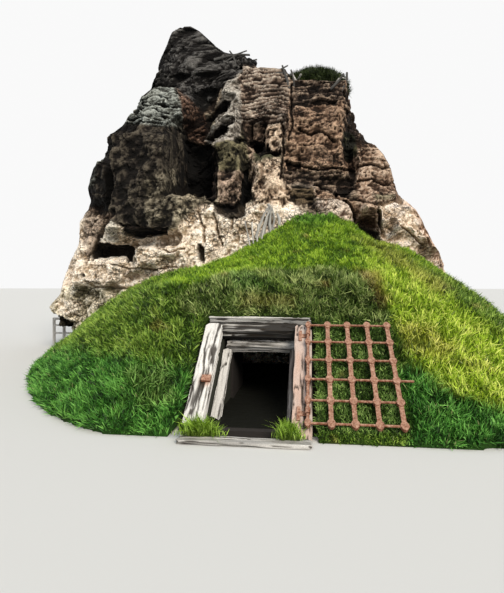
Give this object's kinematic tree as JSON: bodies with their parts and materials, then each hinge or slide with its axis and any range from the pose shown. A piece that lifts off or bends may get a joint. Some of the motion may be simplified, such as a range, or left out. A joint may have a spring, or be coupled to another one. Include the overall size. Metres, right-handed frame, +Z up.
{
  "type": "turf house",
  "caption": "Small turf house dug into a grassy mound at the foot of a rock crag, with a low sloping timber doorway and an iron lattice gate.",
  "frame": {"origin": "middle of the ground plan at floor level", "axes": "+X to the right along the front, -Y the way the doorway faces, +Z up"},
  "size_m": [12.1639, 10.7549, 8.4],
  "materials": {
    "brown_rock": "brown layered rock, rough",
    "dark_rock": "dark shadowed rock, rough",
    "dark_timber": "dark damp boards of the passage and the roof",
    "earth": "earth and roots, rough",
    "grey_rock": "grey lichened rock, rough",
    "orange_rock": "orange brown rock, rough",
    "pale_rock": "pale weathered rock, rough",
    "pale_timber": "bleached unpainted board",
    "rusted_iron": "forged iron, rusted all over, matt",
    "stained_timber": "old timber stained by rust from the iron",
    "turf": "living turf, rough",
    "weathered_timber": "silvered, unpainted old timber with splits"
  },
  "bodies": {
    "house": {"left_post": "weathered_timber", "right_post": "stained_timber", "lintel": "weathered_timber", "cap_board": "pale_timber", "left_inner_post": "weathered_timber", "right_inner_post": "weathered_timber", "inner_log": "weathered_timber", "threshold_board": "pale_timber", "inner_sill": "dark_timber", "passage_linings": "dark_timber", "passage_roof": "dark_timber", "latch_plate": "rusted_iron", "hinge_irons": "rusted_iron", "chamber_rafters": "dark_timber", "chamber_roof_boards": "dark_timber", "doorway_cheeks": "earth", "front_left_bank": "turf", "chamber_left_bank": "turf", "front_right_bank": "turf", "brow_turf": "turf", "roof_turf": "turf", "left_flank": "turf", "right_flank": "turf", "foot_rock": "brown_rock", "pale_band_rock": "pale_rock", "overhang_rock": "dark_rock", "facet_rock": "grey_rock", "tower_rock": "dark_rock", "tower_top_rock": "dark_rock", "centre_base_rock": "brown_rock", "centre_rock": "pale_rock", "strata_rock": "brown_rock", "right_base_rock": "brown_rock", "right_boulder": "orange_rock", "right_shoulder_rock": "orange_rock", "crown_rock": "orange_rock", "back_left_rock": "brown_rock", "back_right_rock": "brown_rock", "crown_turf": "turf", "crown_poles": "weathered_timber", "foot_framing": "weathered_timber", "leaning_poles": "weathered_timber", "earth_floor": "earth", "ledge_rock": "brown_rock"},
    "gate": {"gate_uprights": "rusted_iron", "gate_crossbars": "rusted_iron", "gate_latch_bar": "rusted_iron"}
  },
  "joints": [
    {"name": "gate_hinge", "type": "hinge", "parent": "house", "child": "gate", "pos_m": [1.008, -5.24787, 0.0403], "axis": [0, -0.7749, -0.632], "range_deg": [0, 180]}
  ]
}
